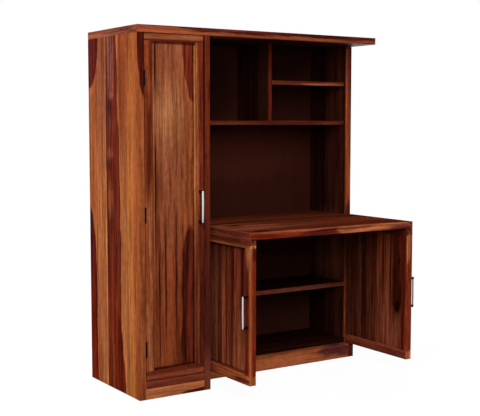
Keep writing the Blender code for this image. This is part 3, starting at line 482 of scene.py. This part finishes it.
rosewood("right_door_panel", Z, Y,
         [(-373, "#662517"), (-290, "#8C4229", 20), (-165, "#522316"), (-124, "#6E3322"), (-84, "#4C2015"),
          (-46, "#6C3826"), (-4, "#52261A")],
         [colour_patch("#A2543A", (None, -215, 220), (None, 50, 170), soft=0.9),
          colour_patch("#8E4A2E", (None, -315, 190), (None, 44, 130), soft=0.6),
          colour_patch("#44160C", (None, -312, 480), (None, 24, 200), soft=0.8),
          colour_patch("#30100A", (None, -335, 560), (None, 10, 18), soft=0.5, rim=0.4),
          colour_patch("#3E140C", (None, -325, 390), (None, 28, 80), soft=0.7),
          colour_patch("#200806", (None, -321, 330), (None, 20, 30), soft=0.5, rim=0.4),
          colour_patch("#4A1A0E", (None, -215, 560), (None, 5, 200), soft=0.5),
          colour_patch("#4A1A0E", (None, -270, 480), (None, 5, 220), soft=0.5)], bold=2.0)
rosewood("right_door_stile_handle", Z, Y, [(-401, "#AC4820"), (-390, "#6E2818", 6)],
         [colour_patch("#8F3B25", (634, -401, 300), (15, 8, 330), soft=0.4),
          colour_patch("#DC8450", (630, -401, 700), (32, 4, 140), soft=0.15)], bold=1.6)
rosewood("right_door_stile_hinge", Z, Y, [(43, "#643220")])
# Painted light: the ends are painted lighter, against the flap's shadow over them
rosewood("right_door_rail_top", Y, Z, [(694, "#6A3020")], ends="#863A28")
rosewood("right_door_rail_bottom", Y, Z, [(75, "#8E4228")],
         [colour_patch("#7E362D", (None, -320, 94), (None, 140, 12), soft=0.4)], bold=1.6, ends="#D98253")
rosewood("right_door_moulding", Z, Y, [(-365, "#7A3A22")])

# Writing flap: a slab glued up from rosewood planks that run along the unit, with a strip across each
# end. It is hinged to the fixed top at its back edge and rests on the open cabinet doors.
rosewood("writing_flap", X, Y,
         [(-402, "#7A2A18"), (-382, "#5E261C"), (-318, "#6C2D1E", 14), (-268, "#84402A"),
          (-170, "#743322", 20), (-100, "#5E271A", 14), (-70, "#7C3A24", 14), (-22, "#481B12", 10),
          (10, "#6A2E1C", 10)],
         [colour_patch("#944E33", (-170, -170, None), (170, 120, None), soft=0.6),
          colour_patch("#7C341A", (480, -175, None), (190, 80, None), soft=0.9),
          colour_patch("#0A0404", (-200, -356, None), (48, 24, None), soft=0.3),
          colour_patch("#3A1412", (-190, -100, None), (50, 22, None), soft=0.6),
          colour_patch("#702E1C", (500, -345, None), (220, 44, None), soft=0.8),
          colour_patch("#561F1B", (95, -402, 746), (105, 8, 13), soft=0.4),
          colour_patch("#B0623E", (425, -402, 750), (235, 8, 40), soft=0.1),
          colour_patch("#75332E", (606, -402, 732), (96, 8, 21), soft=0.25),
          colour_patch("#8A3820", (663, -402, 742), (26, 8, 30), soft=0.3),
          colour_patch("#9E5230", (-190, -402, 766), (480, 8, 11), soft=0.4)],
         bold=1.8, gloss=0.0, ends="#813C2A")

# Hinges and pivots: three butt hinges, the flap's continuous hinge and the cabinet doors' pivots, pressed
# from steel sheet and finished in black lacquer, which is a little uneven and rubbed to brown in spots.
HINGE_GRIT = 2.5 * MM  # the lacquer's unevenness is finer, and is drawn as coarse as it needs to show
RUB_START, RUB_FULL = 0.55, 0.75  # where in that unevenness the brown begins and is full
LACQUER_SMOOTH, LACQUER_ROUGH = 0.34, 0.5
black_lacquer, shader = finish("black_lacquered_steel")
place = add(black_lacquer, "TexCoord")["Object"]
grit = add(black_lacquer, "TexNoise", {"Vector": place, "Scale": 1 / HINGE_GRIT, "Detail": 3.0})[0]
rub = add(black_lacquer, "MapRange", {0: grit, 1: RUB_START, 2: RUB_FULL})[0]
tint = add(black_lacquer, "Mix", {0: rub, 6: linear("#050404"), 7: linear("#120E0B")}, data_type="RGBA")[2]
black_lacquer.node_tree.links.new(tint, shader["Base Color"])
sprayed = {0: grit, 1: NOISE_LOW, 2: NOISE_HIGH, 3: LACQUER_SMOOTH, 4: LACQUER_ROUGH}
rough = add(black_lacquer, "MapRange", sprayed)[0]
black_lacquer.node_tree.links.new(rough, shader["Roughness"])
shader["Specular IOR Level"].default_value = 0.05
dents = add(black_lacquer, "Bump", {"Strength": 0.2, "Distance": 0.1 * MM, "Height": grit})[0]
black_lacquer.node_tree.links.new(dents, shader["Normal"])
for node in nodes:
    if "_hinge_" in node and "stile" not in node or "_pivot_" in node:
        coat(nodes[node], black_lacquer)

# Hinge screws: steel screws with low round heads and a crossed slot, two in each leaf of the butt hinges
# and a row of nine in each leaf of the flap's hinge. Lacquered like the leaves, they stand a little proud.
SCREW_HEAD, SCREW_RISE, SCREW_DOME = 3 * MM, 0.7 * MM, 0.35 * MM
SCREW_SLOT, SLOT_LENGTH = 0.8 * MM, 5  # its width, and its length in such widths
BUTT_SCREWS, BUTT_SCREW_DEPTH = 46 * MM, 14 * MM  # from screw to screw, and from the side's front edge
ROW_SCREWS, ROW_STEP, ROW_RISE = 9, 108 * MM, 6.5 * MM
FLAP_LEAF = 0.95 * MM  # thickness of the flap hinge's leaves
SQUARE_ON = 0.9  # a face looks along an axis where its normal has at least this share along it
SMOOTH_ANGLE = math.radians(40)  # edges that turn less than this are shaded smooth


def pick(test):
    """Go into edit mode with the faces of the active piece selected that pass a test on their normal."""
    bpy.ops.object.mode_set(mode="EDIT")
    bpy.ops.mesh.select_mode(type="FACE")
    bpy.ops.mesh.select_all(action="DESELECT")
    bpy.ops.object.mode_set(mode="OBJECT")
    for face in bpy.context.object.data.polygons:
        face.select = test(face.normal)
    bpy.ops.object.mode_set(mode="EDIT")


def copy(pattern, name, place=(0, 0, 0), turn=(0, 0, 0)):
    """A copy of a pattern with a mesh of its own, turned by angles in degrees and put in its place."""
    piece = pattern.copy()
    piece.data = pattern.data.copy()
    piece.name = piece.data.name = name
    piece.location = place
    piece.rotation_euler = [math.radians(angle) for angle in turn]
    bpy.context.collection.objects.link(piece)
    bpy.ops.object.select_all(action="DESELECT")
    bpy.context.view_layer.objects.active = piece
    piece.select_set(True)
    bpy.ops.object.transform_apply()
    return piece


def fit(piece, body):
    """Fix a finished piece to a body of the frame."""
    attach(piece, body)


bpy.ops.object.select_all(action="DESELECT")
bpy.ops.mesh.primitive_cylinder_add(vertices=20, radius=SCREW_HEAD, depth=SCREW_RISE,
                                    location=(0, 0, SCREW_RISE / 2))
screw = bpy.context.object
bpy.ops.object.transform_apply()
pick(lambda normal: normal.z > SQUARE_ON)
bpy.ops.mesh.bevel(offset=SCREW_DOME, segments=3)
bpy.ops.object.mode_set(mode="OBJECT")
for turn in (0, math.pi / 2):
    bpy.ops.object.select_all(action="DESELECT")
    bpy.ops.mesh.primitive_cube_add(size=SCREW_SLOT, location=(0, 0, SCREW_RISE), rotation=(0, 0, turn),
                                    scale=(SLOT_LENGTH, 1, 1))
    cutter = bpy.context.object
    bpy.context.view_layer.objects.active = screw
    slot = screw.modifiers.new("slot", "BOOLEAN")
    slot.object = cutter
    bpy.ops.object.modifier_apply(modifier=slot.name)
    bpy.data.objects.remove(cutter)
bpy.ops.object.select_all(action="DESELECT")
screw.select_set(True)
bpy.ops.object.shade_smooth_by_angle(angle=SMOOTH_ANGLE)
coat(screw, black_lacquer)
leaves = (("frame", "carcass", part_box("wardrobe_side_left")[1].x, 90),
          ("door", "wardrobe_door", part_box("wardrobe_door_stile_hinge")[0].x, -90))
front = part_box("wardrobe_side_left")[0].y + BUTT_SCREW_DEPTH
for name, body, face, turn in leaves:
    for number in (1, 2, 3):
        low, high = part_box(f"wardrobe_hinge_{number}_{name}_leaf")
        middle = (low.z + high.z) / 2
        first = (face, front, middle - BUTT_SCREWS / 2)
        pair = copy(screw, f"wardrobe_hinge_{number}_{name}_screws", first, (0, turn, 0))
        bpy.ops.object.mode_set(mode="EDIT")
        bpy.ops.mesh.select_all(action="SELECT")
        bpy.ops.mesh.duplicate_move(TRANSFORM_OT_translate={"value": (0, 0, BUTT_SCREWS)})
        bpy.ops.object.mode_set(mode="OBJECT")
        fit(pair, body)
low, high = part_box("flap_hinge_fixed_leaf")
start = (low.x + high.x - (ROW_SCREWS - 1) * ROW_STEP) / 2
leaves = (("fixed", "carcass", high.y - FLAP_LEAF, 90), ("moving", "flap", low.y + FLAP_LEAF, -90))
for name, body, face, turn in leaves:
    row = copy(screw, f"flap_hinge_{name}_screws", (start, face, low.z + ROW_RISE), (turn, 0, 0))
    bpy.ops.object.mode_set(mode="EDIT")
    bpy.ops.mesh.select_all(action="SELECT")
    for number in range(ROW_SCREWS - 1):
        bpy.ops.mesh.duplicate_move(TRANSFORM_OT_translate={"value": (ROW_STEP, 0, 0)})
    bpy.ops.object.mode_set(mode="OBJECT")
    fit(row, body)

# Glides and catches: nylon buttons let into the ends of the doors' top rails, which carry the flap, and
# two magnetic catches in nylon cases. Moulded, so faintly pebbled and a little glossy.
NYLON_PEBBLE = 1.2 * MM  # the pebbling is finer, and is drawn as coarse as it needs to show
NYLON_SMOOTH, NYLON_ROUGH = 0.42, 0.56
nylon, shader = finish("black_moulded_nylon")
place = add(nylon, "TexCoord")["Object"]
pebble = add(nylon, "TexNoise", {"Vector": place, "Scale": 1 / NYLON_PEBBLE, "Detail": 2.0})[0]
tint = add(nylon, "Mix", {0: pebble, 6: linear("#040404"), 7: linear("#0A0A0A")}, data_type="RGBA")[2]
nylon.node_tree.links.new(tint, shader["Base Color"])
moulded = {0: pebble, 1: NOISE_LOW, 2: NOISE_HIGH, 3: NYLON_SMOOTH, 4: NYLON_ROUGH}
rough = add(nylon, "MapRange", moulded)[0]
nylon.node_tree.links.new(rough, shader["Roughness"])
shader["Specular IOR Level"].default_value = 0.05
dimples = add(nylon, "Bump", {"Strength": 0.2, "Distance": 0.1 * MM, "Height": pebble})[0]
nylon.node_tree.links.new(dimples, shader["Normal"])
for node in ("left_door_glide", "right_door_glide"):
    coat(nodes[node], nylon)


def recoloured(material, name, *colours):
    """A copy of a finish whose tint runs between two other colours."""
    twin = material.copy()
    twin.name = name
    for node in twin.node_tree.nodes:
        if node.bl_idname == "ShaderNodeMix":
            node.inputs[6].default_value, node.inputs[7].default_value = map(linear, colours)
    return twin


# The catches' cases are moulded in a dark brown, which hardly shows against the wood
brown_nylon = recoloured(nylon, "brown_moulded_nylon", "#1E0C07", "#2A120B")
for node in ("cabinet_catch", "flap_catch"):
    coat(nodes[node], brown_nylon)

# Felt strips: brown nylon felt, cut from the roll and glued along the outer edge of each cabinet door's
# top, so that the flap comes down softly on the doors and nothing falls through the gap. They also close
# the gap under the flap with a brown piece, put where there is only shade.
FELT_WIDTH, FELT_LENGTH, FELT_HEIGHT, FELT_ROUND = 10 * MM, 400 * MM, 2.6 * MM, 1 * MM
FELT_INSET = 1 * MM  # from the door's outer face and from its free end
FELT_FIBRE = 0.6 * MM  # fibres are finer, and are drawn as coarse as they need to show
# The nap scatters the light, so that the felt looks matt and soft, with a faint sheen at a slant
felt, shader = finish("brown_nylon_felt")
place = add(felt, "TexCoord")["Object"]
nap = add(felt, "TexNoise", {"Vector": place, "Scale": 1 / FELT_FIBRE, "Detail": 4.0})[0]
tint = add(felt, "Mix", {0: nap, 6: linear("#7A3A24"), 7: linear("#55241A")}, data_type="RGBA")[2]
felt.node_tree.links.new(tint, shader["Base Color"])
shader["Roughness"].default_value = 0.95
shader["Specular IOR Level"].default_value = 0.0
shader["Sheen Weight"].default_value = 0.2
fluff = add(felt, "Bump", {"Strength": 0.5, "Distance": 0.2 * MM, "Height": nap})[0]
felt.node_tree.links.new(fluff, shader["Normal"])
bpy.ops.object.select_all(action="DESELECT")
bpy.ops.mesh.primitive_cube_add(size=1, location=(0, FELT_LENGTH / 2, FELT_HEIGHT / 2),
                                scale=(FELT_WIDTH, FELT_LENGTH, FELT_HEIGHT))
strip = bpy.context.object
bpy.ops.object.transform_apply()
pick(lambda normal: normal.z > SQUARE_ON)
bpy.ops.mesh.bevel(offset=FELT_ROUND, segments=3)
bpy.ops.object.mode_set(mode="OBJECT")
bpy.ops.object.shade_smooth_by_angle(angle=SMOOTH_ANGLE)
coat(strip, felt)
for door, side in (("left_door", -1), ("right_door", 1)):
    low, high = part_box(f"{door}_rail_top")
    edge = (low.x if side < 0 else high.x) - side * (FELT_INSET + FELT_WIDTH / 2)
    fit(copy(strip, f"{door}_felt_strip", (edge, low.y + FELT_INSET, high.z)), door)
bpy.data.objects.remove(strip)

# Strike plates: two steel plates on the inner faces of the cabinet doors, each held by one screw, which
# the magnets of the cabinet's catch hold. Stamped, and lacquered in a brown near the wood's.
PLATE_HEIGHT, PLATE_WIDTH, PLATE_THICKNESS = 18 * MM, 21 * MM, 1.2 * MM
PLATE_CORNER, PLATE_EDGE = 2.5 * MM, 0.3 * MM
PLATE_FROM_END, PLATE_FROM_TOP = 22.5 * MM, 10 * MM  # to the plate's middle
bpy.ops.object.select_all(action="DESELECT")
bpy.ops.mesh.primitive_cube_add(size=1, location=(0, 0, PLATE_THICKNESS / 2),
                                scale=(PLATE_HEIGHT, PLATE_WIDTH, PLATE_THICKNESS))
plate = bpy.context.object
bpy.ops.object.transform_apply()
bpy.ops.object.mode_set(mode="EDIT")
bpy.ops.mesh.select_mode(type="EDGE")
bpy.ops.mesh.select_all(action="DESELECT")
bpy.ops.object.mode_set(mode="OBJECT")
for edge in plate.data.edges:
    start, end = (plate.data.vertices[index].co for index in edge.vertices)
    edge.select = abs(start.z - end.z) > PLATE_THICKNESS / 2
bpy.ops.object.mode_set(mode="EDIT")
bpy.ops.mesh.bevel(offset=PLATE_CORNER, segments=4)
pick(lambda normal: normal.z > SQUARE_ON)
bpy.ops.mesh.bevel(offset=PLATE_EDGE, segments=2)
bpy.ops.object.mode_set(mode="OBJECT")
bpy.ops.object.shade_smooth_by_angle(angle=SMOOTH_ANGLE)
brown_lacquer = recoloured(black_lacquer, "brown_lacquered_steel", "#4A2A20", "#5A382C")
coat(plate, brown_lacquer)
coat(copy(screw, "strike_screw", (0, 0, PLATE_THICKNESS)), brown_lacquer)
plate.select_set(True)
bpy.context.view_layer.objects.active = plate
bpy.ops.object.join()
for door, turn in (("left_door", 90), ("right_door", -90)):
    low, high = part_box(f"{door}_rail_top")
    face = high.x if turn > 0 else low.x
    middle = (face, low.y + PLATE_FROM_END, high.z - PLATE_FROM_TOP)
    strike = copy(plate, f"{door}_strike_plate", middle, (0, turn, 0))
    fit(strike, door)
for pattern in (plate, screw):
    bpy.data.objects.remove(pattern)

# Bow handles: a cast zinc bar of oval section, bowed outwards a little, brushed and plated satin silver,
# on two black posts. Each is screwed to its door through the stile.
BAR_REACH, BAR_LENGTH, BAR_WIDTH, BAR_THICKNESS = 30 * MM, 146 * MM, 11 * MM, 8 * MM
BAR_BOW, BAR_TIP, BAR_TAPER = 0.6 * MM, 0.85, 8  # a higher power keeps the taper to the ends
BAR_EDGE, POST_EDGE = 0.7 * MM, 0.8 * MM  # rounding of the bar's ends and of the posts' feet
BAR_STATIONS = (-1, -0.985, -0.95, -0.85, -0.6, -0.3, 0, 0.3, 0.6, 0.85, 0.95, 0.985, 1)
POST_SPACING, POST_BASE, POST_NECK, POST_FOOT = 139 * MM, 15 * MM, 12 * MM, 3 * MM


def section(share):
    """Depth of the bar's middle line, and the size of its section, at a share of the way to its end."""
    depth = -BAR_REACH + BAR_THICKNESS / 2 + BAR_BOW * share ** 2
    return depth, math.sqrt(1 - (1 - BAR_TIP ** 2) * share ** BAR_TAPER)


bpy.ops.object.select_all(action="DESELECT")
depth, size = section(BAR_STATIONS[0])
bpy.ops.mesh.primitive_circle_add(vertices=24, radius=BAR_WIDTH / 2 * size, fill_type="NGON",
                                  location=(0, depth, -BAR_LENGTH / 2))
bar = bpy.context.object
bpy.ops.object.transform_apply()
bpy.ops.object.mode_set(mode="EDIT")
bpy.ops.transform.resize(value=(1, BAR_THICKNESS / BAR_WIDTH, 1),
                         center_override=(0, depth, -BAR_LENGTH / 2))
for last, share in zip(BAR_STATIONS, BAR_STATIONS[1:]):
    last_depth, last_size = section(last)
    depth, size = section(share)
    step = (0, depth - last_depth, (share - last) * BAR_LENGTH / 2)
    bpy.ops.mesh.extrude_region_move(TRANSFORM_OT_translate={"value": step})
    grow = size / last_size
    bpy.ops.transform.resize(value=(grow, grow, 1), center_override=(0, depth, share * BAR_LENGTH / 2))
bpy.ops.mesh.select_all(action="SELECT")
bpy.ops.mesh.normals_make_consistent(inside=False)
pick(lambda normal: abs(normal.z) > SQUARE_ON)
bpy.ops.mesh.bevel(offset=BAR_EDGE, segments=3)
bpy.ops.object.mode_set(mode="OBJECT")
bpy.ops.object.shade_smooth_by_angle(angle=SMOOTH_ANGLE)

bpy.ops.object.select_all(action="DESELECT")
bpy.ops.mesh.primitive_cylinder_add(vertices=24, radius=POST_BASE / 2, depth=POST_FOOT,
                                    location=(0, -POST_FOOT / 2, -POST_SPACING / 2),
                                    rotation=(math.pi / 2, 0, 0))
posts = bpy.context.object
bpy.ops.object.transform_apply()
pick(lambda normal: normal.y < -SQUARE_ON)
bpy.ops.mesh.bevel(offset=POST_EDGE, segments=2)
pick(lambda normal: normal.y < -SQUARE_ON)
bpy.ops.mesh.inset(thickness=(POST_BASE - POST_NECK) / 2 - POST_EDGE)
post_length = section(POST_SPACING / BAR_LENGTH)[0] + POST_FOOT
bpy.ops.mesh.extrude_region_move(TRANSFORM_OT_translate={"value": (0, post_length, 0)})
bpy.ops.mesh.select_all(action="SELECT")
bpy.ops.mesh.duplicate_move(TRANSFORM_OT_translate={"value": (0, 0, POST_SPACING)})
bpy.ops.object.mode_set(mode="OBJECT")
bpy.ops.object.shade_smooth_by_angle(angle=SMOOTH_ANGLE)

# The bar was brushed along its length before it was plated, so it mirrors the room in soft streaks
BRUSH_WIDTH = 0.8 * MM  # brush marks are finer, and are drawn as coarse as they need to show
BRUSH_LENGTH = 40 * MM
PLATED_SMOOTH, PLATED_ROUGH = 0.24, 0.36
silver, shader = finish("satin_plated_zinc")
place = add(silver, "TexCoord")["Object"]
strokes = (1 / BRUSH_WIDTH, 1 / BRUSH_WIDTH, 1 / BRUSH_LENGTH)
brush = add(silver, "Mapping", {"Vector": place, "Scale": strokes})[0]
marks = add(silver, "TexNoise", {"Vector": brush, "Scale": 1.0, "Detail": 2.0})[0]
tint = add(silver, "Mix", {0: marks, 6: linear("#DADCDC"), 7: linear("#B8BABA")}, data_type="RGBA")[2]
silver.node_tree.links.new(tint, shader["Base Color"])
shader["Metallic"].default_value = 1.0
plated = {0: marks, 1: NOISE_LOW, 2: NOISE_HIGH, 3: PLATED_SMOOTH, 4: PLATED_ROUGH}
rough = add(silver, "MapRange", plated)[0]
silver.node_tree.links.new(rough, shader["Roughness"])
scratches = add(silver, "Bump", {"Strength": 0.1, "Distance": 0.05 * MM, "Height": marks})[0]
silver.node_tree.links.new(scratches, shader["Normal"])
coat(bar, silver)
coat(posts, nylon)
for door, turn in (("wardrobe_door", 0), ("left_door", -90), ("right_door", 90)):
    node = f"{door}_handle"
    low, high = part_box(node)
    middle = (low + high) / 2
    face = {0: (middle.x, high.y, middle.z),
            -90: (high.x, middle.y, middle.z),
            90: (low.x, middle.y, middle.z)}[turn]
    fit(copy(posts, f"{door}_handle_posts", face, (0, 0, turn)), door)
    grip = copy(bar, f"{door}_handle_bar", face, (0, 0, turn))
    fit(grip, door)
    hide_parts(node)
for pattern in (bar, posts):
    bpy.data.objects.remove(pattern)

# Studio: a pale paper floor and a white room, with three soft boxes. The key stands to the left and
# behind, so that it reaches the wardrobe's side and not the doors. A larger one stands in front, above
# the unit's top, and a fill stands low behind the right end. None of it is part of the object.
FLOOR_SPAN = 40  # in m
FLOOR_PAPER = "#9A9996"
SHADOW_SHARE = 0.25  # share of the floor's white that takes the shadow, near the unit
SHADOW_NEAR, SHADOW_FAR = 1.2, 2.6  # the share falls to none between these distances from the middle, in m
NEAR_WHITE = 0.955  # what is left of the floor's white in the deepest shadow
ROOM_LIGHT = 0.16  # strength of the room's white where it lights the object


def seen(shaded):
    """1 for a ray from the camera, also by way of gloss or glass, and 0 for one that brings light."""
    ray = add(shaded, "LightPath")
    direct = add(shaded, "Math", {0: ray["Is Camera Ray"], 1: ray["Is Glossy Ray"]}, operation="MAXIMUM")[0]
    return add(shaded, "Math", {0: direct, 1: ray["Is Transmission Ray"]}, operation="MAXIMUM")[0]


bpy.ops.object.select_all(action="DESELECT")
bpy.ops.mesh.primitive_plane_add(size=FLOOR_SPAN)
floor = bpy.context.object
floor.name = "studio_floor"

# Matt paper that looks white all over, apart from the unit's soft shadow near it
paper = bpy.data.materials.new("floor_paper")
paper.use_nodes = True
place = add(paper, "TexCoord")["Object"]
away = add(paper, "VectorMath", {0: place}, operation="LENGTH")["Value"]
white = add(paper, "MapRange", {0: away, 1: SHADOW_NEAR, 2: SHADOW_FAR, 3: 1 - SHADOW_SHARE, 4: 1.0})[0]
weight = add(paper, "Math", {0: seen(paper), 1: white}, operation="MULTIPLY")[0]
near = NEAR_WHITE / (1 - SHADOW_SHARE)
brightness = add(paper, "MapRange", {0: away, 1: SHADOW_NEAR, 2: SHADOW_FAR, 3: near, 4: 1.0})[0]
matte = add(paper, "BsdfDiffuse", {"Color": linear(FLOOR_PAPER)})[0]
glow = add(paper, "Emission", {"Color": (1, 1, 1, 1), "Strength": brightness})[0]
both = add(paper, "MixShader", {0: weight, 1: matte, 2: glow})[0]
paper.node_tree.links.new(both, paper.node_tree.nodes["Material Output"].inputs["Surface"])
floor.data.materials.append(paper)

world = bpy.data.worlds.new("studio_room")
world.use_nodes = True
bpy.context.scene.world = world
strength = add(world, "MapRange", {0: seen(world), 3: ROOM_LIGHT, 4: 1.0})[0]
backdrop = world.node_tree.nodes["Background"].inputs
backdrop["Color"].default_value = (1, 1, 1, 1)
world.node_tree.links.new(strength, backdrop["Strength"])


def soft_box(name, place, target, size, power):
    """A square lamp that faces a point."""
    light = bpy.data.lights.new(name, "AREA")
    light.size = size
    light.energy = power
    box = bpy.data.objects.new(name, light)
    box.location = place
    box.rotation_euler = (Vector(target) - Vector(place)).to_track_quat("-Z", "Y").to_euler()
    bpy.context.collection.objects.link(box)


soft_box("key_soft_box", place=(-3.4, 2.2, 1.7), target=(-0.697, 0.15, 0.9), size=1.8, power=128)
soft_box("front_soft_box", place=(-1.2, -2.7, 2.45), target=(-0.3, -0.1, 1.1), size=2.5, power=94)
soft_box("fill_soft_box", place=(2.6, 2.9, 0.9), target=(0.3, 0.4, 0.85), size=1.6, power=90)

# Camera: it stands in front of the unit and to its left, at chest height, and looks a little down. Its
# place, angles and lens follow from the straight edges in the photograph.
CAMERA_PLACE = (-2.7085, -4.0190, 1.2475)
CAMERA_TURN, CAMERA_DROP = 33.08, 4.91  # in degrees, to the right and down
LENS_LENGTH, SENSOR_WIDTH = 74.55, 36  # in mm
lens = bpy.data.cameras.new("camera")
lens.lens = LENS_LENGTH
lens.sensor_width = SENSOR_WIDTH
camera = bpy.data.objects.new("camera", lens)
camera.location = CAMERA_PLACE
turn, drop = math.radians(CAMERA_TURN), math.radians(CAMERA_DROP)
forward = Vector((math.sin(turn) * math.cos(drop), math.cos(turn) * math.cos(drop), -math.sin(drop)))
camera.rotation_euler = forward.to_track_quat("-Z", "Y").to_euler()
bpy.context.collection.objects.link(camera)
bpy.context.scene.camera = camera
bpy.context.scene.view_settings.view_transform = "Standard"
